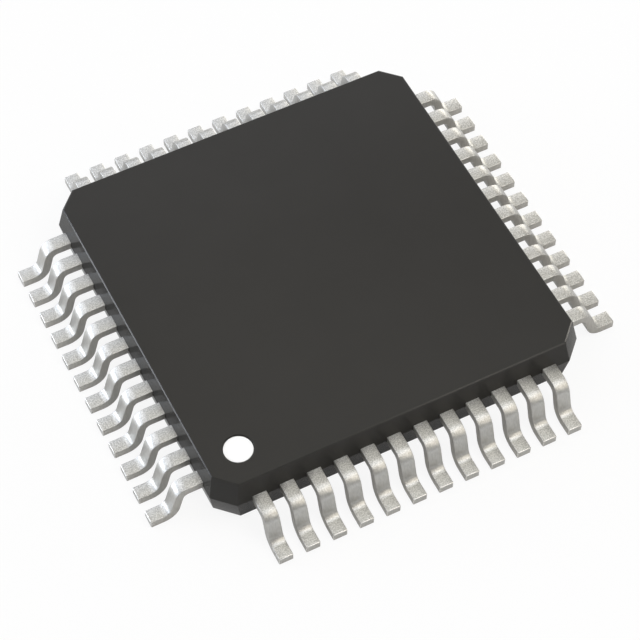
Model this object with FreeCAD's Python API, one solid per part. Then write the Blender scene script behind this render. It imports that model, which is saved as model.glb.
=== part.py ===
import FreeCAD, Part
import math
import os

# Quad flat pack chip: a thin moulded body with a row of gull-wing leads on each of its four sides.
# Millimetres, +Z up. The origin is the middle of the seating plane, on which all the feet stand.
# -Y is the front, and the pin-one dot is at the front left corner. Seen from above the leads count
# anticlockwise from the dot: front left to right, right front to back, back right to left, and
# left back to front.

# Leads
leads_per_side = 12
lead_pitch = 0.5
lead_width = 0.26
lead_thickness = 0.16
lead_reach = 0.97             # from the body's parting line to the tip of the foot
foot_flat = 0.235             # flat length of the foot behind its tip
shank_angle = 16.0            # degrees between the shank and the vertical
shoulder_bend_radius = 0.11   # inside radius of the bend at the top of the shank
foot_bend_radius = 0.16       # inside radius of the bend at the foot

# Moulded body
corner_land = 0.75            # from the last lead's middle to where the two sides would meet
corner_cut = 0.345            # length taken off each side at a corner
top_corner_cut = 0.33         # the same in the top face's outline
body_thickness = 0.98
standoff = 0.15               # from the seating plane to the underside
parting_rise = 0.006          # the parting line lies this far above the middle of the thickness
upper_draft = 10.65           # degrees, sides above the parting line
lower_draft = 8.5             # degrees, sides below the parting line
edge_radius = 0.025           # rounding along the top and bottom edges

# Pin-one mark
mark_inset = 0.72             # from the parting line of either side to the dot's middle
mark_radius = 0.253
mark_ink = 0.012              # thickness of the ink
mark_floor_margin = 0.005     # bare floor round the ink
mark_recess_depth = 0.03
mark_recess_flare = 0.018     # the recess is this much wider all round at its mouth

# Two ejector pin marks in the underside
ejector_radius = 0.4
ejector_depth = 0.02
ejector_inset = 1.5           # from the parting line of either side to the mark's middle

# Lead fingers inside the body
neck_length = 0.25            # straight run just inside the parting line, at full width
finger_length = 1.45          # from the parting line to the bonding end
finger_width = 0.14
finger_tip_length = 0.35      # straight run at the bonding end
finger_corner_land = 0.4      # from the last finger's middle to where two rows of ends would meet
finger_gap = 0.25             # between the fingers' ends and the die pad

# Die pad and its tie bars
pad_drop = 0.2                # the pad lies this much lower than the leads
tie_width = 0.18
tie_flat = 0.2                # level run beside the pad's corner
tie_slope_run = 0.3           # length over which a tie bar climbs to the leads' level
tie_cover = 0.12              # compound left over a tie bar's end at the corner cut

# Die
die_margin = 0.4              # bare pad all round the die
die_thickness = 0.2
attach_thickness = 0.02
attach_margin = 0.05          # adhesive squeezed out all round the die

# Bond wires
wire_diameter = 0.025
wire_loop = 0.13              # height of the loop over the die
bond_corner_land = 0.3        # from the last bond's middle to the die's corner
bond_inset = 0.08             # from the die's edge to the bond
stitch_inset = 0.12           # from the finger's end to the middle of the stitch

# Sizes that follow from those above
row_half = lead_pitch * (leads_per_side - 1) / 2
body_half = row_half + corner_land
parting_z = standoff + body_thickness / 2 + parting_rise
body_top = standoff + body_thickness
finger_top = parting_z + lead_thickness / 2
ring_half = body_half - finger_length
pad_half = ring_half - finger_gap
die_half = pad_half - die_margin
finger_pitch = 2 * (ring_half - finger_corner_land) / (leads_per_side - 1)
bond_pitch = 2 * (die_half - bond_corner_land) / (leads_per_side - 1)
pad_top = finger_top - pad_drop
die_bottom = pad_top + attach_thickness
die_top = die_bottom + die_thickness
side_angles = {"front": 0, "right": 90, "back": 180, "left": 270}

up = FreeCAD.Vector(0, 0, 1)
across = FreeCAD.Vector(1, 0, 0)


def face_of(points):
    """A flat face with straight sides through the points."""
    corners = [FreeCAD.Vector(*point) for point in points]
    return Part.Face(Part.makePolygon(corners + corners[:1]))


def octagon(half, z, taken_off=corner_cut):
    """The corners of the body's outline at one height: a square with its corners cut off."""
    cut = half - taken_off
    return [(-cut, -half, z), (cut, -half, z), (half, -cut, z), (half, cut, z),
            (cut, half, z), (-cut, half, z), (-half, cut, z), (-half, -cut, z)]


def tapered_block(outlines):
    """A solid with flat walls between outlines that lie one above another, lowest first."""
    walls = [face_of(outlines[0][::-1]), face_of(outlines[-1])]
    for low, high in zip(outlines, outlines[1:]):
        for index in range(len(low)):
            after = (index + 1) % len(low)
            walls.append(face_of([low[index], low[after], high[after], high[index]]))
    return Part.makeSolid(Part.makeShell(walls))


def side_place(index):
    """How far along its side a lead stands from the middle, counted from the side's left end."""
    return index - (leads_per_side - 1) / 2


def turned(shape, side):
    """The front side's shape, carried round to another side of the body."""
    copy = shape.copy()
    copy.rotate(FreeCAD.Vector(0, 0, 0), up, side_angles[side])
    return copy


def arc_edge(centre, radius, start, end):
    """An arc in the YZ plane from one angle to another, through the angle midway. Degrees."""
    points = []
    for angle in (start, (start + end) / 2, end):
        turn = math.radians(angle)
        points.append(FreeCAD.Vector(0, centre[0] + radius * math.cos(turn),
                                     centre[1] + radius * math.sin(turn)))
    return Part.Arc(*points).toShape()


def bent_profile():
    """The gull wing seen from its side, as a face in the YZ plane. The tip points to -Y."""
    half = lead_thickness / 2
    turn = 90 - shank_angle
    tangent = math.tan(math.radians(turn / 2))
    tip_y = -(body_half + lead_reach)
    foot_z = half
    foot_y = tip_y + foot_flat
    low_corner_y = foot_y + (foot_bend_radius + half) * tangent
    high_corner_y = low_corner_y + (parting_z - foot_z) * math.tan(math.radians(shank_angle))
    bend_y = high_corner_y + (shoulder_bend_radius + half) * tangent
    root_y = -(body_half - neck_length)

    shoulder_centre = (bend_y, parting_z - shoulder_bend_radius - half)
    foot_centre = (foot_y, foot_z + foot_bend_radius + half)
    outer = shoulder_bend_radius + lead_thickness
    under = foot_bend_radius + lead_thickness

    over_bend = arc_edge(shoulder_centre, outer, 90, 90 + turn)
    over_foot = arc_edge(foot_centre, foot_bend_radius, turn - 90, -90)
    under_foot = arc_edge(foot_centre, under, -90, turn - 90)
    under_bend = arc_edge(shoulder_centre, shoulder_bend_radius, 90 + turn, 90)

    path = [FreeCAD.Vector(0, root_y, parting_z + half), over_bend, over_foot,
            FreeCAD.Vector(0, tip_y, foot_z + half), FreeCAD.Vector(0, tip_y, foot_z - half),
            under_foot, under_bend, FreeCAD.Vector(0, root_y, parting_z - half)]
    return Part.Face(joined(path))


def joined(path):
    """A closed wire through points and arcs in turn, with a straight edge wherever two don't meet."""
    edges = []
    ends = []
    for item in path:
        if isinstance(item, FreeCAD.Vector):
            ends.append((item, item))
        else:
            ends.append((item.Vertexes[0].Point, item.Vertexes[-1].Point))
    for index, item in enumerate(path):
        if not isinstance(item, FreeCAD.Vector):
            edges.append(item)
        start = ends[index][1]
        end = ends[(index + 1) % len(path)][0]
        if start.distanceToPoint(end) > 1e-6:
            edges.append(Part.makeLine(start, end))
    return Part.Wire(edges)


def finger(place):
    """The part of a lead inside the body: it narrows and slants in to its bonding end."""
    outer_x = place * lead_pitch
    inner_x = place * finger_pitch
    neck_y = -(body_half - neck_length)
    tip_y = -(ring_half + finger_tip_length)
    wide = lead_width / 2
    narrow = finger_width / 2
    z = parting_z - lead_thickness / 2
    outline = [(outer_x - wide, neck_y, z), (outer_x + wide, neck_y, z), (inner_x + narrow, tip_y, z),
               (inner_x + narrow, -ring_half, z), (inner_x - narrow, -ring_half, z),
               (inner_x - narrow, tip_y, z)]
    return face_of(outline).extrude(up * lead_thickness)


def lead(place):
    """One lead of the front side: the gull wing and its finger, in one piece."""
    wing = bent_profile().extrude(across * lead_width)
    wing.translate(FreeCAD.Vector(place * lead_pitch - lead_width / 2, 0, 0))
    return wing.fuse(finger(place)).removeSplitter().Solids[0]


def tie_bar():
    """One tie bar, from under the pad's corner up to the leads' level, along +X before it is turned."""
    low = pad_top - lead_thickness
    high = finger_top - lead_thickness
    start = pad_half * math.sqrt(2) - tie_width
    foot = pad_half * math.sqrt(2) + tie_flat
    top = foot + tie_slope_run
    end = (2 * body_half - corner_cut) / math.sqrt(2) - tie_cover
    under = [(start, low), (foot, low), (top, high), (end, high)]
    over = [(x, z + lead_thickness) for x, z in reversed(under)]
    side = face_of([(x, -tie_width / 2, z) for x, z in under + over])
    return side.extrude(FreeCAD.Vector(0, tie_width, 0))


def die_pad():
    """The plate that carries the die, with a tie bar at each corner."""
    plate = square_plate(pad_half, lead_thickness, pad_top - lead_thickness)
    bars = []
    for corner in range(4):
        bar = tie_bar()
        bar.rotate(FreeCAD.Vector(0, 0, 0), up, 45 + 90 * corner)
        bars.append(bar)
    return plate.fuse(bars).removeSplitter().Solids[0]


def square_plate(half, thickness, z):
    """A flat square plate about the middle axis, from half its side."""
    return Part.makeBox(2 * half, 2 * half, thickness, FreeCAD.Vector(-half, -half, z))


def bond_wire(place):
    """One wire of the front side: it rises from the die and falls in a straight line to its finger."""
    start = FreeCAD.Vector(place * bond_pitch, -(die_half - bond_inset), 0)
    end = FreeCAD.Vector(place * finger_pitch, -(ring_half + stitch_inset), 0)
    run = start.distanceToPoint(end)
    radius = wire_diameter / 2
    loop_top = die_top + wire_loop
    fall = math.atan2(loop_top - finger_top, run + radius)
    foot = wire_diameter / math.sin(fall)
    bend_z = finger_top + (run - foot - radius) * math.tan(fall)
    outline = [(-radius, die_top), (-radius, loop_top), (run, finger_top),
               (run - foot, finger_top), (radius, bend_z), (radius, die_top)]
    wire = face_of([(x, -radius, z) for x, z in outline]).extrude(FreeCAD.Vector(0, wire_diameter, 0))
    heading = math.degrees(math.atan2(end.y - start.y, end.x - start.x))
    wire.rotate(FreeCAD.Vector(0, 0, 0), up, heading)
    wire.translate(start)
    return wire


def mark_middle(z):
    """The dot's middle at a height."""
    offset = -(body_half - mark_inset)
    return FreeCAD.Vector(offset, offset, z)


def mark_recess():
    """The space of the shallow round recess, a little wider at its mouth."""
    floor_radius = mark_radius + mark_floor_margin
    mouth_radius = floor_radius + mark_recess_flare
    floor = mark_middle(body_top - mark_recess_depth)
    return Part.makeCone(floor_radius, mouth_radius, mark_recess_depth, floor)


def pin_one_mark():
    """The disc of ink on the recess's floor."""
    return Part.makeCylinder(mark_radius, mark_ink, mark_middle(body_top - mark_recess_depth))


def ejector_marks():
    """The round dents that the mould's two pins leave in the underside, near opposite corners."""
    offset = body_half - ejector_inset
    middles = [FreeCAD.Vector(-offset, offset, standoff), FreeCAD.Vector(offset, -offset, standoff)]
    return [Part.makeCylinder(ejector_radius, ejector_depth, middle) for middle in middles]


def body_block():
    """The outside of the moulded body: two tapers that meet at the parting line, edges rounded."""
    top_half = body_half - (body_top - parting_z) * math.tan(math.radians(upper_draft))
    bottom_half = body_half - (parting_z - standoff) * math.tan(math.radians(lower_draft))
    block = tapered_block([octagon(bottom_half, standoff), octagon(body_half, parting_z),
                           octagon(top_half, body_top, top_corner_cut)])
    rims = []
    for edge in block.Edges:
        heights = [vertex.Point.z for vertex in edge.Vertexes]
        if max(heights) - min(heights) < 1e-6 and abs(heights[0] - parting_z) > 1e-6:
            rims.append(edge)
    return block.makeFillet(edge_radius, rims)


def moulded_body(held):
    """The compound as it sets round every piece that it holds."""
    block = body_block().cut([mark_recess()] + ejector_marks())
    return block.cut(held).Solids[0]


def save(name, shape):
    """Write one piece to its own file."""
    shape.exportStep("parts/" + name + ".step")


def build():
    """Make every piece and write it."""
    os.makedirs("parts", exist_ok=True)
    pieces = {}
    places = [side_place(index) for index in range(leads_per_side)]
    number = 0
    for side in side_angles:
        for place in places:
            number += 1
            pieces["lead_%02d" % number] = turned(lead(place), side)
    for side in side_angles:
        wires = Part.makeCompound([bond_wire(place) for place in places])
        pieces["bond_wires_" + side] = turned(wires, side)
    pieces["die_pad"] = die_pad()
    pieces["die_attach"] = square_plate(die_half + attach_margin, attach_thickness, pad_top)
    pieces["die"] = square_plate(die_half, die_thickness, die_bottom)
    pieces["mould_body"] = moulded_body(list(pieces.values()))
    pieces["pin_one_mark"] = pin_one_mark()
    for name, shape in pieces.items():
        save(name, shape)


build()
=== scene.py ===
"""Dresses the quad flat pack chip: its moulded body, tin-plated leads and ink dot, in a plain studio.

Everything is in metres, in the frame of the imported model: +Z up, the origin at the middle of the
seating plane, -Y the front side, with the pin-one dot at its left end. Sizes are written in
millimetres and turned to metres where a mesh is made.
"""

import logging
import math
from dataclasses import dataclass, field
from enum import Enum
from typing import ClassVar

import bmesh
import bpy
from mathutils import Matrix, Vector


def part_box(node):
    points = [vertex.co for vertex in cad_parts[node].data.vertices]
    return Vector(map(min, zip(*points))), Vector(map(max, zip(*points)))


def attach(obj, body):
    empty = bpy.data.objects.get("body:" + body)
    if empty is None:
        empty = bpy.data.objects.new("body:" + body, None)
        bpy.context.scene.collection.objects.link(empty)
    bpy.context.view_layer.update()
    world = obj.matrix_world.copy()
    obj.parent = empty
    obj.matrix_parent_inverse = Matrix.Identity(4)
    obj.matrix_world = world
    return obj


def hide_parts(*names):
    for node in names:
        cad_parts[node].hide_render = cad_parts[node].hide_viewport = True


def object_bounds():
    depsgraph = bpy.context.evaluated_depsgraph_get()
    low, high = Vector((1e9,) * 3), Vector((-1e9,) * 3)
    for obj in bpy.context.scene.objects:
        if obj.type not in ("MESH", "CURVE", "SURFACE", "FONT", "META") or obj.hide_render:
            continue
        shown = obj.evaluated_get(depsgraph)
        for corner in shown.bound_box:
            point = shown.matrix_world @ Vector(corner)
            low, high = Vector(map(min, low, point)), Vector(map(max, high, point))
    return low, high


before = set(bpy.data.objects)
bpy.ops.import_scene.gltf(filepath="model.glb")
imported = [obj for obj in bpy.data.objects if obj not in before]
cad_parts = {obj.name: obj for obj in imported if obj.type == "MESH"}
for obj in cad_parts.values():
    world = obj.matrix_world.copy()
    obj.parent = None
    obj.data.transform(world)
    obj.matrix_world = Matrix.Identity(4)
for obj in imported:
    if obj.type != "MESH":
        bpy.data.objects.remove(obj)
cad_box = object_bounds()

log = logging.getLogger("chip")

MM = 0.001

# The leads' thickness in millimetres. The parting line runs round the middle of it.
LEAD_THICKNESS = 0.16
# The weight at which large faces alone set the shading of the bevels between them.
FLATS_WIN = 100
# A noise pattern's values seldom leave this range.
NOISE_LOW = 0.3
NOISE_HIGH = 0.7
# The detail of a noise pattern whose grains are all of one size.
ONE_SIZE = 0.0
WHITE = "#FFFFFF"

Point = tuple[float, float]
Ring = list[bmesh.types.BMVert]


# Small helpers


def linear(hex_colour: str) -> tuple[float, float, float, float]:
    """Turn an sRGB hex colour into the linear colour that shaders take.

    Args:
        hex_colour: Six hex digits, with or without a leading hash.

    Returns:
        Linear red, green, blue and an alpha of one.
    """
    digits = hex_colour.lstrip("#")
    channels = [int(digits[i:i + 2], 16) / 255 for i in (0, 2, 4)]
    # The numbers are the sRGB standard's own: a straight line near black, and a power above it.
    red, green, blue = [c / 12.92 if c <= 0.04045 else ((c + 0.055) / 1.055) ** 2.4 for c in channels]
    return red, green, blue, 1.0


def add_node(tree: bpy.types.NodeTree, kind: str, inputs: dict[str | int, object] | None = None,
             **settings: str) -> bpy.types.Node:
    """Add one node with its settings, input values and incoming links.

    Args:
        tree: The node tree that gets the node.
        kind: The node's type name.
        inputs: Values or output sockets by the name or number of the input they go to.
        **settings: Attributes of the node itself, set before its inputs.

    Returns:
        The new node.
    """
    node = tree.nodes.new(kind)
    for name, value in settings.items():
        setattr(node, name, value)
    for key, value in (inputs or {}).items():
        if isinstance(value, bpy.types.NodeSocket):
            tree.links.new(value, node.inputs[key])
        else:
            node.inputs[key].default_value = value
    return node


def blank_material(name: str) -> tuple[bpy.types.Material, bpy.types.NodeTree]:
    """Make a new material with an empty node tree.

    Args:
        name: The material's name.

    Returns:
        The material and its node tree.
    """
    material = bpy.data.materials.new(name)
    material.use_nodes = True
    material.node_tree.nodes.clear()
    return material, material.node_tree


def grains_per_metre(grain_mm: float) -> float:
    """The noise scale, in metres of object space, whose grains are this many millimetres across."""
    return 1.0 / (grain_mm * MM)


def rounded(points: list[Point], radii: list[float], steps: int, closed: bool) -> list[Point]:
    """Round the corners of a flat outline with arcs that touch both of their sides.

    Args:
        points: The outline's corners, in order.
        radii: One radius for each corner. Zero keeps it sharp.
        steps: Straight pieces in each arc.
        closed: Whether the last corner joins the first. An open outline keeps its two ends.

    Returns:
        The outline with each rounded corner replaced by the points of its arc.
    """
    result: list[Point] = []
    count = len(points)
    for index, (corner, radius) in enumerate(zip(points, radii)):
        if radius == 0 or (not closed and index in (0, count - 1)):
            result.append(corner)
            continue
        here = Vector(corner)
        before = (Vector(points[index - 1]) - here).normalized()
        after = (Vector(points[(index + 1) % count]) - here).normalized()
        half = before.angle(after) / 2
        centre = here + (before + after).normalized() * radius / math.sin(half)
        start = here + before * radius / math.tan(half) - centre
        sweep = -start.angle_signed(here + after * radius / math.tan(half) - centre)
        for step in range(steps + 1):
            turn = sweep * step / steps
            spoke = Matrix.Rotation(turn, 2) @ start
            result.append(tuple(centre + spoke))
    return result


def circle(middle: Point, radius: float, z: float, steps: int) -> list[Vector]:
    """Draw a level circle.

    Args:
        middle: Where its middle is, seen from above.
        radius: Its radius.
        z: Its height.
        steps: How many points it has.

    Returns:
        The points round it.
    """
    x, y = middle
    turns = [2 * math.pi * step / steps for step in range(steps)]
    return [Vector((x + radius * math.cos(turn), y + radius * math.sin(turn), z)) for turn in turns]


class MeshPiece:
    """A mesh under construction, which becomes one piece of the visual model."""

    def __init__(self, name: str) -> None:
        """Start an empty mesh.

        Args:
            name: The name that the piece gets.
        """
        self.name = name
        self.mesh = bmesh.new()
        self.flat_faces: list[bmesh.types.BMFace] = []

    def loop(self, points: list[Vector]) -> Ring:
        """Add a ring of points, given in millimetres, and return its vertices."""
        return [self.mesh.verts.new(point * MM) for point in points]

    def bridge(self, first: Ring, second: Ring, finishes: dict[int, int] | None = None) -> None:
        """Join two rings of as many points with a band of four-sided faces.

        Args:
            first: One ring.
            second: The next ring.
            finishes: The number of the finish that a face wears, by the face's place round the
                ring. A face that isn't in it wears the piece's first finish.
        """
        count = len(first)
        for index in range(count):
            after = (index + 1) % count
            face = self.mesh.faces.new((first[index], first[after], second[after], second[index]))
            face.material_index = (finishes or {}).get(index, 0)

    def cap(self, ring: Ring) -> None:
        """Close a ring with one flat face."""
        self.flat_faces.append(self.mesh.faces.new(ring))

    def plate(self, rings: list[Ring]) -> None:
        """Fill the flat space between an outer ring and the holes inside it.

        Args:
            rings: The outer ring, and then the ring round each hole.
        """
        edges = []
        for ring in rings:
            for index, vertex in enumerate(ring):
                ends = (vertex, ring[(index + 1) % len(ring)])
                edges.append(self.mesh.edges.get(ends) or self.mesh.edges.new(ends))
        made = bmesh.ops.triangle_fill(self.mesh, use_beauty=True, use_dissolve=False, edges=edges)
        self.flat_faces += [part for part in made["geom"] if isinstance(part, bmesh.types.BMFace)]

    def finish(self, materials: list[bpy.types.Material], node: str,
               crease_deg: float) -> bpy.types.Object:
        """Turn the mesh into an object that stands in for a node of the model.

        Args:
            materials: The finishes that the piece's faces number.
            node: The node that this piece replaces.
            crease_deg: Edges that turn more than this stay sharp.

        Returns:
            The finished object.
        """
        bmesh.ops.recalc_face_normals(self.mesh, faces=self.mesh.faces)
        for face in self.mesh.faces:
            face.smooth = face not in self.flat_faces
        for edge in self.mesh.edges:
            edge.smooth = edge.calc_face_angle() < math.radians(crease_deg)
        data = bpy.data.meshes.new(self.name)
        self.mesh.to_mesh(data)
        self.mesh.free()
        for material in materials:
            data.materials.append(material)
        piece = bpy.data.objects.new(self.name, data)
        bpy.context.scene.collection.objects.link(piece)
        flats = piece.modifiers.new("flat_faces_stay_flat", "WEIGHTED_NORMAL")
        flats.keep_sharp = True
        flats.weight = FLATS_WIN
        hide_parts(node)
        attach(piece, "root")
        return piece


# Finishes


@dataclass(frozen=True)
class MouldedEpoxy:
    """Epoxy moulding compound, filled with silica and black pigment, as it leaves the mould.

    The eye sees a dark neutral grey with a low sheen. The mould's spark-eroded wall leaves a fine
    grain that only shows where light grazes it.
    """

    name: str = "moulded_epoxy"
    colour: str = "#353432"
    light_patch: str = "#383735"
    roughness: float = 0.12
    roughness_swing: float = 0.03
    ior: float = 1.50
    # Silica grains break through the resin's skin, so it mirrors less than clear epoxy would.
    mirror_level: float = 0.09
    # A spark-eroded mould leaves pits of 0.005 to 0.02 mm. They are drawn coarser, so that they show.
    grain_mm: float = 0.03
    grain_height_mm: float = 0.0012
    # Smaller pits lie within the larger ones, and are a little over half as deep.
    grain_detail: float = 3.0
    grain_fineness: float = 0.6
    # The compound flows in from one corner and settles in faint patches about a millimetre across.
    patch_mm: float = 1.1

    def material(self) -> bpy.types.Material:
        """Build the material.

        Returns:
            The material, ready to go in a slot.
        """
        material, tree = blank_material(self.name)
        place = add_node(tree, "ShaderNodeTexCoord").outputs["Object"]
        grain = add_node(tree, "ShaderNodeTexNoise", {
            "Vector": place, "Scale": grains_per_metre(self.grain_mm), "Detail": self.grain_detail,
            "Roughness": self.grain_fineness})
        patches = add_node(tree, "ShaderNodeTexNoise", {
            "Vector": place, "Scale": grains_per_metre(self.patch_mm)})
        colour = add_node(tree, "ShaderNodeMix", {
            "Factor": patches.outputs["Fac"], "A": linear(self.colour), "B": linear(self.light_patch)},
            data_type="RGBA")
        sheen = add_node(tree, "ShaderNodeMapRange", {
            "Value": grain.outputs["Fac"], "From Min": NOISE_LOW, "From Max": NOISE_HIGH,
            "To Min": self.roughness - self.roughness_swing,
            "To Max": self.roughness + self.roughness_swing})
        bump = add_node(tree, "ShaderNodeBump", {
            "Height": grain.outputs["Fac"], "Distance": self.grain_height_mm * MM})
        shader = add_node(tree, "ShaderNodeBsdfPrincipled", {
            "Base Color": colour.outputs["Result"], "Roughness": sheen.outputs["Result"],
            "IOR": self.ior, "Specular IOR Level": self.mirror_level, "Normal": bump.outputs["Normal"]})
        add_node(tree, "ShaderNodeOutputMaterial", {"Surface": shader.outputs["BSDF"]})
        return material


# Use polishes the mould along its sharpest edge, so the fine rim round the body's top is glossier.
RIM_EPOXY = MouldedEpoxy("rim_epoxy", roughness=0.10, mirror_level=0.17, grain_height_mm=0.0006)


@dataclass(frozen=True)
class MatteTin:
    """Matte tin plated over copper, then trimmed and bent.

    Plating grows in crystals, so the flats have an even sparkling grain. The bending tool presses the
    crystals smoother on the bends and the slope between them, and smears them into short streaks.
    """

    name: str = "matte_tin"
    colour: str = "#CBCAC6"
    dull_colour: str = "#A09F9B"
    pressed_colour: str = "#B6B5B1"
    # The film of tin oxide and the pits between crystals scatter a part of the light.
    metallic: float = 0.78
    roughness: float = 0.38
    roughness_swing: float = 0.04
    # Real crystals are 2 to 8 micrometres across. They are drawn coarser, so that the grain shows.
    crystal_mm: float = 0.022
    crystal_height_mm: float = 0.0024
    # On a slope the pattern is drawn out up and down. This is a streak's width over its length.
    smear: float = 0.12
    # Where the upward part of a face's direction is no more than pressed_slope, the bending tool has
    # left only pressed_share of the grain.
    pressed_share: float = 0.25
    pressed_slope: float = 0.65

    def material(self) -> bpy.types.Material:
        """Build the material.

        Returns:
            The material, ready to go in a slot.
        """
        material, tree = blank_material(self.name)
        place = add_node(tree, "ShaderNodeTexCoord")
        smeared = add_node(tree, "ShaderNodeMapping", {
            "Vector": place.outputs["Object"], "Scale": (1.0, 1.0, self.smear)})
        crystals = add_node(tree, "ShaderNodeTexNoise", {
            "Vector": smeared.outputs["Vector"], "Scale": grains_per_metre(self.crystal_mm),
            "Detail": ONE_SIZE})
        facing = add_node(tree, "ShaderNodeSeparateXYZ", {"Vector": place.outputs["Normal"]})
        unpressed = add_node(tree, "ShaderNodeMapRange", {
            "Value": facing.outputs["Z"], "From Min": self.pressed_slope, "From Max": 1.0,
            "To Min": self.pressed_share})
        facets = add_node(tree, "ShaderNodeMapRange", {
            "Value": crystals.outputs["Fac"], "From Min": NOISE_LOW, "From Max": NOISE_HIGH})
        grain = add_node(tree, "ShaderNodeMix", {
            "Factor": facets.outputs["Result"], "A": linear(self.dull_colour), "B": linear(self.colour)},
            data_type="RGBA")
        colour = add_node(tree, "ShaderNodeMix", {
            "Factor": unpressed.outputs["Result"], "A": linear(self.pressed_colour),
            "B": grain.outputs["Result"]}, data_type="RGBA")
        sheen = add_node(tree, "ShaderNodeMapRange", {
            "Value": crystals.outputs["Fac"], "From Min": NOISE_LOW, "From Max": NOISE_HIGH,
            "To Min": self.roughness - self.roughness_swing,
            "To Max": self.roughness + self.roughness_swing})
        bump = add_node(tree, "ShaderNodeBump", {
            "Height": crystals.outputs["Fac"], "Strength": unpressed.outputs["Result"],
            "Distance": self.crystal_height_mm * MM})
        shader = add_node(tree, "ShaderNodeBsdfPrincipled", {
            "Base Color": colour.outputs["Result"], "Metallic": self.metallic,
            "Roughness": sheen.outputs["Result"], "Normal": bump.outputs["Normal"]})
        add_node(tree, "ShaderNodeOutputMaterial", {"Surface": shader.outputs["BSDF"]})
        return material


# The sides of a lead are cut by a punch. Their torn grain plates rougher, and looks darker.
SHEARED_TIN = MatteTin("sheared_tin", "#B9B7B2", "#AEACA7", "#B4B2AD", metallic=0.55, roughness=0.46,
                       crystal_height_mm=0.0018, pressed_share=1.0)

# The cut that trims the foot drags tin over its rim, which is left smooth and catches the light. Its
# colour is lighter than the tin's own, which is a painted highlight along the rim on top of the real
# smoother finish.
BURNISHED_TIN_PAINTED_HIGHLIGHT = MatteTin("burnished_tin_painted_highlight", "#D2D1CE", "#C5C4C0", "#CBCAC6", metallic=0.9, roughness=0.26,
                         crystal_height_mm=0.0008)


@dataclass(frozen=True)
class PrintedInk:
    """White pad-printing ink, cured matte, with a trace of the pad's mottle."""

    colour: str = "#FBFBFA"
    thin_colour: str = "#F4F4F2"
    roughness: float = 0.6
    # The pad lays the ink down in a film that gathers in spots about as wide as the film's wet edge.
    mottle_mm: float = 0.05
    mottle_height_mm: float = 0.0008

    def material(self) -> bpy.types.Material:
        """Build the material.

        Returns:
            The material, ready to go in a slot.
        """
        material, tree = blank_material("printed_ink")
        place = add_node(tree, "ShaderNodeTexCoord").outputs["Object"]
        mottle = add_node(tree, "ShaderNodeTexNoise", {
            "Vector": place, "Scale": grains_per_metre(self.mottle_mm)})
        colour = add_node(tree, "ShaderNodeMix", {
            "Factor": mottle.outputs["Fac"], "A": linear(self.thin_colour), "B": linear(self.colour)},
            data_type="RGBA")
        bump = add_node(tree, "ShaderNodeBump", {
            "Height": mottle.outputs["Fac"], "Distance": self.mottle_height_mm * MM})
        shader = add_node(tree, "ShaderNodeBsdfPrincipled", {
            "Base Color": colour.outputs["Result"], "Roughness": self.roughness,
            "Normal": bump.outputs["Normal"]})
        add_node(tree, "ShaderNodeOutputMaterial", {"Surface": shader.outputs["BSDF"]})
        return material


@dataclass(frozen=True)
class StudioFloor:
    """Plain white paper sweep.

    It is matte and even. It stays white to the camera and in reflections, and holds a soft shadow.
    """

    colour: str = "#F6F6F6"
    roughness: float = 0.9
    paper_white: float = 1.0
    white_to_camera: float = 0.9
    white_to_reflections: float = 0.3

    def material(self) -> bpy.types.Material:
        """Build the material.

        Returns:
            The material, ready to go in a slot.
        """
        material, tree = blank_material("studio_floor")
        rays = add_node(tree, "ShaderNodeLightPath")
        seen = add_node(tree, "ShaderNodeMath", {
            0: rays.outputs["Is Camera Ray"], 1: self.white_to_camera}, operation="MULTIPLY")
        mirrored = add_node(tree, "ShaderNodeMath", {
            0: rays.outputs["Is Glossy Ray"], 1: rays.outputs["Is Transmission Ray"]},
            operation="MAXIMUM")
        share = add_node(tree, "ShaderNodeMath", {
            0: mirrored.outputs[0], 1: self.white_to_reflections, 2: seen.outputs[0]},
            operation="MULTIPLY_ADD")
        paper = add_node(tree, "ShaderNodeBsdfDiffuse", {
            "Color": linear(self.colour), "Roughness": self.roughness})
        white = add_node(tree, "ShaderNodeEmission", {
            "Color": linear(WHITE), "Strength": self.paper_white})
        both = add_node(tree, "ShaderNodeMixShader", {
            0: share.outputs[0], 1: paper.outputs["BSDF"], 2: white.outputs["Emission"]})
        add_node(tree, "ShaderNodeOutputMaterial", {"Surface": both.outputs["Shader"]})
        return material


# How far the sheen of a sealed piece swings either way over its grain, as a share of its roughness.
SEALED_SHEEN_SWING = 0.2


class InnerFinish(Enum):
    """Finishes of the pieces sealed inside.

    Each is a colour, the colour of its duller grain, metallic, roughness and the grain's size in
    millimetres. The rolled copper is satin, the filled adhesive matte, and the polished silicon and
    the drawn gold wire shine.
    """

    COPPER_ALLOY = ("#C98E66", "#B97D58", 1.0, 0.30, 0.04)
    SILVER_ADHESIVE = ("#B8B7B2", "#A3A29D", 0.0, 0.55, 0.02)
    POLISHED_SILICON = ("#5C5F66", "#53565E", 1.0, 0.12, 0.20)
    GOLD_WIRE = ("#E3B554", "#D6A647", 1.0, 0.22, 0.01)

    def material(self) -> bpy.types.Material:
        """Build the material, with a light grain in its colour and roughness.

        Returns:
            The material, ready to go in a slot.
        """
        colour, dull_colour, metallic, roughness, grain_mm = self.value
        material, tree = blank_material(self.name.lower())
        place = add_node(tree, "ShaderNodeTexCoord").outputs["Object"]
        grain = add_node(tree, "ShaderNodeTexNoise", {
            "Vector": place, "Scale": grains_per_metre(grain_mm)})
        tint = add_node(tree, "ShaderNodeMix", {
            "Factor": grain.outputs["Fac"], "A": linear(dull_colour), "B": linear(colour)},
            data_type="RGBA")
        sheen = add_node(tree, "ShaderNodeMapRange", {
            "Value": grain.outputs["Fac"], "To Min": roughness * (1 - SEALED_SHEEN_SWING),
            "To Max": roughness * (1 + SEALED_SHEEN_SWING)})
        shader = add_node(tree, "ShaderNodeBsdfPrincipled", {
            "Base Color": tint.outputs["Result"], "Metallic": metallic,
            "Roughness": sheen.outputs["Result"]})
        add_node(tree, "ShaderNodeOutputMaterial", {"Surface": shader.outputs["BSDF"]})
        return material


# Sub-assemblies


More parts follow.
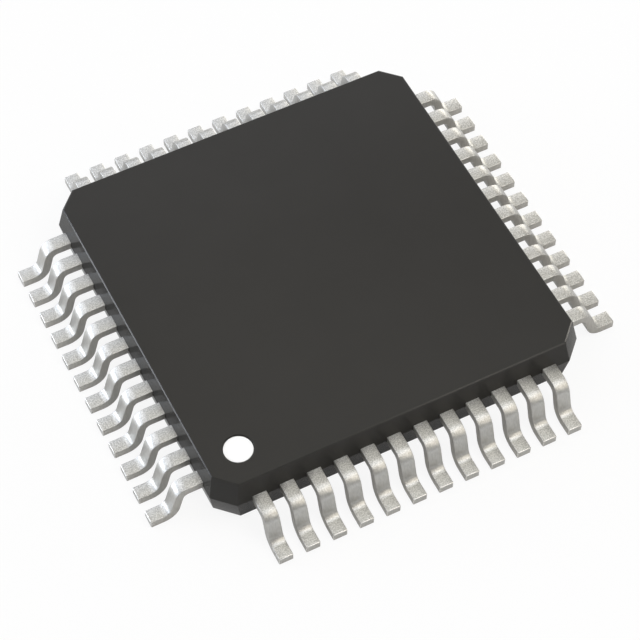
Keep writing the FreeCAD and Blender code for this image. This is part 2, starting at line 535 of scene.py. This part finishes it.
class Side(Enum):
    """The four sides of the body, with the turn that carries the front side to each, in degrees."""

    FRONT = 0
    RIGHT = 90
    BACK = 180
    LEFT = 270

    def turn(self, point: Vector) -> Vector:
        """Carry a point of the front side round to this side."""
        return Matrix.Rotation(math.radians(self.value), 3, "Z") @ point


@dataclass
class MouldedBody:
    """The moulded body: two tapers that meet at the parting line, with a fine bevel round the top.

    Its sizes are in millimetres, and its drafts in degrees.
    """

    corner_cut: float = 0.345
    top_corner_cut: float = 0.33
    upper_draft_deg: float = 10.65
    lower_draft_deg: float = 8.5
    bevel: float = 0.02
    bevel_corner_radius: float = 0.006
    edge_radius: float = 0.02
    parting_radius: float = 0.006
    corner_radius: float = 0.02
    mark_inset: float = 0.72
    mark_floor_radius: float = 0.258
    mark_mouth_radius: float = 0.276
    mark_depth: float = 0.03
    mark_lip_radius: float = 0.012
    ejector_radius: float = 0.4
    ejector_depth: float = 0.02
    ejector_inset: float = 1.5
    # A dent's edge is bevelled over this share of its depth.
    ejector_bevel_share: float = 1 / 3
    arc_steps: int = 5
    corner_steps: int = 3
    circle_steps: int = 64
    crease_deg: float = 40
    low: Vector = field(default_factory=lambda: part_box("mould_body")[0] / MM)
    high: Vector = field(default_factory=lambda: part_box("mould_body")[1] / MM)
    lead_top: float = field(default_factory=lambda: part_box("lead_01")[1].z / MM)
    # The place of the rim's finish among the body's materials.
    RIM: ClassVar[int] = 1

    @property
    def half(self) -> float:
        """Half the body's side at the parting line."""
        return self.high.x

    @property
    def parting_z(self) -> float:
        """The height of the parting line, which runs round the middle of the leads."""
        return self.lead_top - LEAD_THICKNESS / 2

    def wall(self) -> list[Point]:
        """Work out the wall's section from its two tapers.

        Returns:
            Half the body's side and the height, for each point of the section from the bottom up.
        """
        rise = self.parting_z - self.low.z
        bottom = self.half - rise * math.tan(math.radians(self.lower_draft_deg))
        slope = math.tan(math.radians(self.upper_draft_deg))
        top = self.half - (self.high.z - self.parting_z) * slope
        # Both ends of the section run in under the body, only to give the rounding a neighbour.
        inner = bottom / 2
        points = [(inner, self.low.z), (bottom, self.low.z), (self.half, self.parting_z),
                  (top + self.bevel * slope, self.high.z - self.bevel),
                  (top - self.bevel * (1 - slope), self.high.z), (inner, self.high.z)]
        radii = [0, self.edge_radius, self.parting_radius, self.bevel_corner_radius,
                 self.bevel_corner_radius, 0]
        return rounded(points, radii, self.arc_steps, closed=False)[1:-1]

    def outline(self, half: float, z: float) -> list[Vector]:
        """Draw the body's plan at one height: a square with cut corners, each slightly rounded.

        Args:
            half: Half the body's side at that height.
            z: The height.

        Returns:
            The points round the plan.
        """
        rise = max(z - self.parting_z, 0) / (self.high.z - self.parting_z)
        cut = half - self.corner_cut - (self.top_corner_cut - self.corner_cut) * rise
        corners = [(-cut, -half), (cut, -half), (half, -cut), (half, cut),
                   (cut, half), (-cut, half), (-half, cut), (-half, -cut)]
        plan = rounded(corners, [self.corner_radius] * len(corners), self.corner_steps, closed=True)
        return [Vector((x, y, z)) for x, y in plan]

    def pocket(self, piece: MeshPiece, middle: Point, section: list[Point]) -> Ring:
        """Add a round pocket and return the ring at its mouth.

        Args:
            piece: The body's mesh.
            middle: Where the pocket's axis stands, seen from above.
            section: Radius and height of its wall, from the mouth to the floor.

        Returns:
            The mouth's vertices.
        """
        rings = [piece.loop(circle(middle, radius, z, self.circle_steps)) for radius, z in section]
        for upper, lower in zip(rings, rings[1:]):
            piece.bridge(upper, lower)
        piece.cap(rings[-1])
        return rings[0]

    def mark_section(self) -> list[Point]:
        """Draw the section of the dot's recess: a rounded mouth, a flared wall and a flat floor.

        Returns:
            Radius and height of each point, from the mouth to the floor.
        """
        top = self.high.z
        # The first point lies out on the top face, only to give the mouth's rounding a neighbour.
        outside = self.mark_mouth_radius + 2 * self.mark_lip_radius
        points = [(outside, top), (self.mark_mouth_radius, top),
                  (self.mark_floor_radius, top - self.mark_depth)]
        return rounded(points, [0, self.mark_lip_radius, 0], self.arc_steps, closed=False)[1:]

    def ejector_section(self) -> list[Point]:
        """Draw the section of the shallow dent that a pin of the mould leaves.

        Returns:
            Radius and height of each point, from the mouth to the roof.
        """
        roof = self.low.z + self.ejector_depth
        bevel = self.ejector_depth * self.ejector_bevel_share
        return [(self.ejector_radius, self.low.z), (self.ejector_radius - bevel, self.low.z + bevel),
                (self.ejector_radius - bevel, roof)]

    def build(self, finish: MouldedEpoxy, rim_finish: MouldedEpoxy) -> bpy.types.Object:
        """Make the body's mesh and dress it.

        Args:
            finish: The body's finish.
            rim_finish: The finish of the fine bevel round its top.

        Returns:
            The body.
        """
        piece = MeshPiece("moulded_body")
        wall = self.wall()
        rings = [piece.loop(self.outline(half, z)) for half, z in wall]
        rim = {index: self.RIM for index in range(len(rings[0]))}
        rim_foot = self.high.z - self.bevel - self.bevel_corner_radius
        for (_, z), lower, upper in zip(wall, rings, rings[1:]):
            piece.bridge(lower, upper, rim if z > rim_foot else None)
        dot = -(self.half - self.mark_inset)
        dent = self.half - self.ejector_inset
        mouth = self.pocket(piece, (dot, dot), self.mark_section())
        dents = [self.pocket(piece, (x, -x), self.ejector_section()) for x in (-dent, dent)]
        piece.plate([rings[-1], mouth])
        piece.plate([rings[0], *dents])
        return piece.finish([finish.material(), rim_finish.material()], "mould_body", self.crease_deg)


@dataclass
class PinOneMark:
    """The disc of ink on the floor of its recess, with a slightly rounded rim."""

    rim_radius: float = 0.005
    rim_steps: int = 3
    circle_steps: int = 64
    crease_deg: float = 40

    def build(self, finish: PrintedInk) -> bpy.types.Object:
        """Make the disc's mesh and dress it.

        Args:
            finish: The ink.

        Returns:
            The disc.
        """
        low, high = [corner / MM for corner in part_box("pin_one_mark")]
        middle = (low + high) / 2
        radius = (high.x - low.x) / 2
        corners = [(radius, low.z), (radius, high.z), (0, high.z)]
        section = rounded(corners, [0, self.rim_radius, 0], self.rim_steps, closed=False)[:-1]
        piece = MeshPiece("pin_one_dot")
        rings = [piece.loop(circle((middle.x, middle.y), ring_radius, z, self.circle_steps))
                 for ring_radius, z in section]
        for lower, upper in zip(rings, rings[1:]):
            piece.bridge(lower, upper)
        piece.cap(rings[0])
        piece.cap(rings[-1])
        return piece.finish([finish.material()], "pin_one_mark", self.crease_deg)


@dataclass
class Lead:
    """A gull-wing lead, swept along its own middle line from its inner end to the tip of its foot.

    Its sizes are in millimetres.
    """

    thickness: float = LEAD_THICKNESS
    width: float = 0.26
    pitch: float = 0.5
    reach: float = 0.97
    foot_flat: float = 0.235
    shank_angle_deg: float = 16.0
    shoulder_bend_radius: float = 0.11
    foot_bend_radius: float = 0.16
    neck_length: float = 0.25
    finger_length: float = 1.45
    finger_width: float = 0.14
    finger_tip_length: float = 0.35
    finger_corner_land: float = 0.4
    edge_radius: float = 0.012
    # Where the section is drawn in round the tip, its edges stay at least this round.
    least_radius: float = 0.003
    tip_radius: float = 0.012
    edge_steps: int = 3
    bend_steps: int = 12
    crease_deg: float = 50
    # The places of a lead's second and third finish among its materials. The third's lighter colour is a
    # painted highlight on the tip's rim.
    SHEARED: ClassVar[int] = 1
    BURNISHED_HIGHLIGHT: ClassVar[int] = 2

    def centre_line(self, half: float, parting_z: float) -> list[Point]:
        """Work out the middle line of the bent part from its bends, its slope and its foot.

        Args:
            half: Half the body's side at the parting line.
            parting_z: The height of the parting line.

        Returns:
            Distance out from the chip's middle and height, for each point from the neck to the tip.
        """
        foot_z = self.thickness / 2
        shoulder_radius = self.shoulder_bend_radius + self.thickness / 2
        foot_radius = self.foot_bend_radius + self.thickness / 2
        shank_angle = math.radians(self.shank_angle_deg)
        turn = math.radians(90 - self.shank_angle_deg)
        tip = half + self.reach
        low_corner = tip - self.foot_flat - foot_radius * math.tan(turn / 2)
        high_corner = low_corner - (parting_z - foot_z) * math.tan(shank_angle)
        points = [(half - self.neck_length, parting_z), (high_corner, parting_z),
                  (low_corner, foot_z), (tip, foot_z)]
        return rounded(points, [0, shoulder_radius, foot_radius, 0], self.bend_steps, closed=False)

    def stations(self, place: float, body: MouldedBody,
                 per_side: int) -> list[tuple[Vector, Vector, float]]:
        """Work out where the lead's section stands along it.

        Args:
            place: The lead's place along its side, in pitches from the middle.
            body: The body that it comes out of.
            per_side: How many leads the side has.

        Returns:
            For each station the section's middle, the direction square to the lead and up from it,
            and its width.
        """
        ring = body.half - self.finger_length
        finger_pitch = 2 * (ring - self.finger_corner_land) / (per_side - 1)
        inner_x = place * finger_pitch
        outer_x = place * self.pitch
        z = body.parting_z
        up = Vector((0, 0, 1))
        result = [(Vector((inner_x, -ring, z)), up, self.finger_width),
                  (Vector((inner_x, -(ring + self.finger_tip_length), z)), up, self.finger_width)]
        line = self.centre_line(body.half, z)
        for index, (out, height) in enumerate(line):
            before = line[max(index - 1, 0)]
            after = line[min(index + 1, len(line) - 1)]
            along = (Vector(after) - Vector(before)).normalized()
            square_to_it = Vector((0, along.y, along.x))
            result.append((Vector((outer_x, -out, height)), square_to_it, self.width))
        return result

    def section(self, width: float, inset: float) -> list[Point]:
        """Draw the lead's section with rounded edges.

        Args:
            width: The section's width.
            inset: How far it is drawn in on all sides.

        Returns:
            The points round the section, across the lead and square to it.
        """
        x = width / 2 - inset
        z = self.thickness / 2 - inset
        corners = [(-x, -z), (x, -z), (x, z), (-x, z)]
        radius = max(self.edge_radius - inset, self.least_radius)
        return rounded(corners, [radius] * len(corners), self.edge_steps, closed=True)

    def build(self, node: str, side: Side, place: float, body: MouldedBody, per_side: int,
              materials: list[bpy.types.Material]) -> bpy.types.Object:
        """Make one lead's mesh and dress it.

        Args:
            node: The node that the lead stands in for.
            side: The side of the body that it comes out of.
            place: Its place along the side, in pitches from the middle.
            body: The body that it comes out of.
            per_side: How many leads the side has.
            materials: The finish of the lead's faces, of its sheared sides and of its tip's rim.

        Returns:
            The lead.
        """
        piece = MeshPiece("gull_wing_" + node)
        *along, (tip, up, width) = self.stations(place, body, per_side)
        rings = [self.ring(piece, side, *station, inset=0.0) for station in along]
        rim_steps = self.edge_steps + 1
        for step in range(rim_steps + 1):
            turn = math.pi / 2 * step / rim_steps
            back = Vector((0, self.tip_radius * (1 - math.sin(turn)), 0))
            inset = self.tip_radius * (1 - math.cos(turn))
            rings.append(self.ring(piece, side, tip + back, up, width, inset))
        sides = self.sheared_faces()
        # The tip's rim wears the smooth finish whose lighter colour is a painted highlight.
        rim = {index: self.BURNISHED_HIGHLIGHT for index in range(len(rings[0]))}
        for index, (first, second) in enumerate(zip(rings, rings[1:])):
            piece.bridge(first, second, sides if index < len(along) else rim)
        piece.cap(rings[0])
        piece.cap(rings[-1])
        return piece.finish(materials, node, self.crease_deg)

    def sheared_faces(self) -> dict[int, int]:
        """Number the finish of the faces round the section that the punch cut: its two upright sides.

        Returns:
            The sheared finish, by each face's place round the section. Each side is three faces: the
            one between two corners, and the nearest one of each of those corners' roundings.
        """
        per_corner = self.edge_steps + 1
        right = 2 * per_corner - 1
        left = 4 * per_corner - 1
        faces = [middle + step for middle in (right, left) for step in (-1, 0, 1)]
        return {face % (4 * per_corner): self.SHEARED for face in faces}

    def ring(self, piece: MeshPiece, side: Side, middle: Vector, up: Vector, width: float,
             inset: float) -> Ring:
        """Add the lead's section at one station, carried round to its side.

        Args:
            piece: The lead's mesh.
            side: The side of the body that the lead comes out of.
            middle: The section's middle, as on the front side.
            up: The direction square to the lead there.
            width: The section's width.
            inset: How far it is drawn in on all sides.

        Returns:
            The section's vertices.
        """
        across = Vector((1, 0, 0))
        points = [middle + across * x + up * z for x, z in self.section(width, inset)]
        return piece.loop([side.turn(point) for point in points])


@dataclass
class LeadFrame:
    """All the leads, counted anticlockwise from the dot."""

    per_side: int = 12
    lead: Lead = field(default_factory=Lead)

    def build(self, body: MouldedBody, finishes: tuple[MatteTin, ...]) -> list[bpy.types.Object]:
        """Make every lead.

        Args:
            body: The body that they come out of.
            finishes: The finish of their faces, of their sheared sides and of their tips' rims.

        Returns:
            The leads, in the order of their numbers.
        """
        tin = [finish.material() for finish in finishes]
        leads = []
        for side in Side:
            for index in range(self.per_side):
                node = f"lead_{len(leads) + 1:02d}"
                place = index - (self.per_side - 1) / 2
                leads.append(self.lead.build(node, side, place, body, self.per_side, tin))
        return leads


@dataclass
class SealedPieces:
    """The pieces inside the body, which keep their solids and only get their finishes."""

    finishes: dict[str, InnerFinish] = field(default_factory=lambda: {
        "die_pad": InnerFinish.COPPER_ALLOY, "die_attach": InnerFinish.SILVER_ADHESIVE,
        "die": InnerFinish.POLISHED_SILICON, "bond_wires_front": InnerFinish.GOLD_WIRE,
        "bond_wires_right": InnerFinish.GOLD_WIRE, "bond_wires_back": InnerFinish.GOLD_WIRE,
        "bond_wires_left": InnerFinish.GOLD_WIRE})

    def dress(self) -> list[bpy.types.Object]:
        """Give each sealed piece its finish.

        Returns:
            The dressed pieces.
        """
        made = {finish: finish.material() for finish in InnerFinish}
        pieces = []
        for node, finish in self.finishes.items():
            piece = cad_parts[node]
            for slot in piece.material_slots:
                slot.material = made[finish]
            pieces.append(piece)
        return pieces


# Studio


@dataclass(frozen=True)
class Softbox:
    """A flat soft light aimed at the chip.

    Attributes:
        name: Its own name.
        azimuth_deg: Where it stands round the chip, from the front anticlockwise seen from above.
        elevation_deg: How high it stands.
        width: Its width in metres.
        height: Its height in metres.
        radiance: How bright its face looks, where one is white.
        colour: Its tint.
        distance: How far it stands from the chip's middle, in metres.
    """

    name: str
    azimuth_deg: float
    elevation_deg: float
    width: float
    height: float
    radiance: float
    colour: str
    distance: float = 0.12

    def place(self) -> None:
        """Make the light and stand it in its place, facing the chip."""
        lamp = bpy.data.lights.new(self.name, "AREA")
        lamp.shape = "RECTANGLE"
        lamp.size = self.width
        lamp.size_y = self.height
        lamp.energy = self.radiance * math.pi * self.width * self.height
        lamp.color = linear(self.colour)[:3]
        light = bpy.data.objects.new(self.name, lamp)
        bpy.context.scene.collection.objects.link(light)
        azimuth = math.radians(self.azimuth_deg)
        elevation = math.radians(self.elevation_deg)
        level = math.cos(elevation)
        away = Vector((math.sin(azimuth) * level, -math.cos(azimuth) * level, math.sin(elevation)))
        light.location = away * self.distance
        light.visible_camera = False
        light.rotation_euler = away.to_track_quat("Z", "Y").to_euler()


@dataclass
class Studio:
    """A plain white floor, soft lights and the camera at the photograph's angle."""

    camera_mm: tuple[float, float, float] = (-10.1420, -20.4356, 32.6430)
    target_mm: tuple[float, float, float] = (-0.2588, -0.7775, 0.6)
    camera_roll_deg: float = -0.2337
    lens_mm: float = 125.861
    sensor_mm: float = 36.0
    near_m: float = 0.001
    far_m: float = 10.0
    floor_half_m: float = 1.0
    # The floor lies a hair under the feet, so that no two faces share one plane.
    floor_drop_mm: float = 0.001
    # The sky's strength on all it lights, and what the camera and reflections see on top of that.
    sky: float = 0.2
    sky_to_camera: float = 0.8
    sky_to_reflections: float = 0.2
    # The last three are small, and draw the thin bright lines along the rim of the body's top.
    lights: tuple[Softbox, ...] = (
        Softbox("front_right", 36, 49, 0.08, 0.08, 1.65, "#FFF5E4"),
        Softbox("overhead_front", 38, 72, 0.07, 0.07, 2.15, "#F6F9FF"),
        Softbox("right_back_low", 135, 8, 0.07, 0.07, 3.6, "#FFFDF7"),
        Softbox("right_back", 135, 30, 0.07, 0.07, 0.45, "#FFF0D2"),
        Softbox("overhead_back", 135, 72, 0.07, 0.07, 0.9, "#FFFBEC"),
        Softbox("back", 180, 36, 0.14, 0.08, 1.15, "#EEF3FF"),
        Softbox("left_back_low", 225, 12, 0.14, 0.08, 2.9, "#E0ECFF"),
        Softbox("left_back", 225, 52, 0.07, 0.07, 1.75, "#FAFBFF"),
        Softbox("left_edge_glint", 238, 10, 0.035, 0.03, 7.5, "#FAFCFF"),
        Softbox("front_edge_glint", 27, 27, 0.03, 0.03, 2.2, "#FFFAF0"),
        Softbox("right_corner_glint", 82, 20, 0.02, 0.02, 10.0, "#FFFAF0"),
    )

    def floor(self, finish: StudioFloor) -> None:
        """Lay the floor under the feet.

        Args:
            finish: The floor's finish.
        """
        half = self.floor_half_m
        z = cad_box[0][2] - self.floor_drop_mm * MM
        corners = [(-half, -half, z), (half, -half, z), (half, half, z), (-half, half, z)]
        data = bpy.data.meshes.new("floor")
        data.from_pydata(corners, [], [(0, 1, 2, 3)])
        data.materials.append(finish.material())
        floor = bpy.data.objects.new("floor", data)
        bpy.context.scene.collection.objects.link(floor)

    def world(self) -> None:
        """Fill light from an even pale sky, which is white to the camera and brighter in reflections."""
        world = bpy.data.worlds.new("studio")
        world.use_nodes = True
        tree = world.node_tree
        tree.nodes.clear()
        rays = add_node(tree, "ShaderNodeLightPath")
        seen = add_node(tree, "ShaderNodeMath", {
            0: rays.outputs["Is Camera Ray"], 1: self.sky_to_camera, 2: self.sky},
            operation="MULTIPLY_ADD")
        mirrored = add_node(tree, "ShaderNodeMath", {
            0: rays.outputs["Is Glossy Ray"], 1: rays.outputs["Is Transmission Ray"]},
            operation="MAXIMUM")
        strength = add_node(tree, "ShaderNodeMath", {
            0: mirrored.outputs[0], 1: self.sky_to_reflections, 2: seen.outputs[0]},
            operation="MULTIPLY_ADD")
        sky = add_node(tree, "ShaderNodeBackground", {
            "Color": linear(WHITE), "Strength": strength.outputs[0]})
        add_node(tree, "ShaderNodeOutputWorld", {"Surface": sky.outputs["Background"]})
        bpy.context.scene.world = world

    def camera(self) -> None:
        """Stand the camera where the photograph was taken from."""
        lens = bpy.data.cameras.new("camera")
        lens.lens = self.lens_mm
        lens.sensor_width = self.sensor_mm
        lens.sensor_fit = "HORIZONTAL"
        lens.clip_start = self.near_m
        lens.clip_end = self.far_m
        camera = bpy.data.objects.new("camera", lens)
        bpy.context.scene.collection.objects.link(camera)
        eye = Vector(self.camera_mm) * MM
        away = eye - Vector(self.target_mm) * MM
        aim = away.to_track_quat("Z", "Y").to_matrix().to_4x4()
        roll = Matrix.Rotation(math.radians(self.camera_roll_deg), 4, "Z")
        camera.matrix_world = Matrix.Translation(eye) @ aim @ roll
        bpy.context.scene.camera = camera

    def build(self) -> None:
        """Set up the whole studio."""
        self.floor(StudioFloor())
        self.world()
        for softbox in self.lights:
            softbox.place()
        self.camera()
        bpy.context.scene.view_settings.view_transform = "Standard"


def main() -> None:
    """Build the chip and its studio, and report each piece."""
    logging.basicConfig(level=logging.INFO, format="%(name)s: %(message)s")
    body = MouldedBody()
    pieces = [body.build(MouldedEpoxy(), RIM_EPOXY), PinOneMark().build(PrintedInk())]
    pieces += LeadFrame().build(body, (MatteTin(), SHEARED_TIN, BURNISHED_TIN_PAINTED_HIGHLIGHT))
    pieces += SealedPieces().dress()
    for piece in pieces:
        log.info("%s: %d faces", piece.name, len(piece.data.polygons))
    Studio().build()


if __name__ == "__main__":
    main()
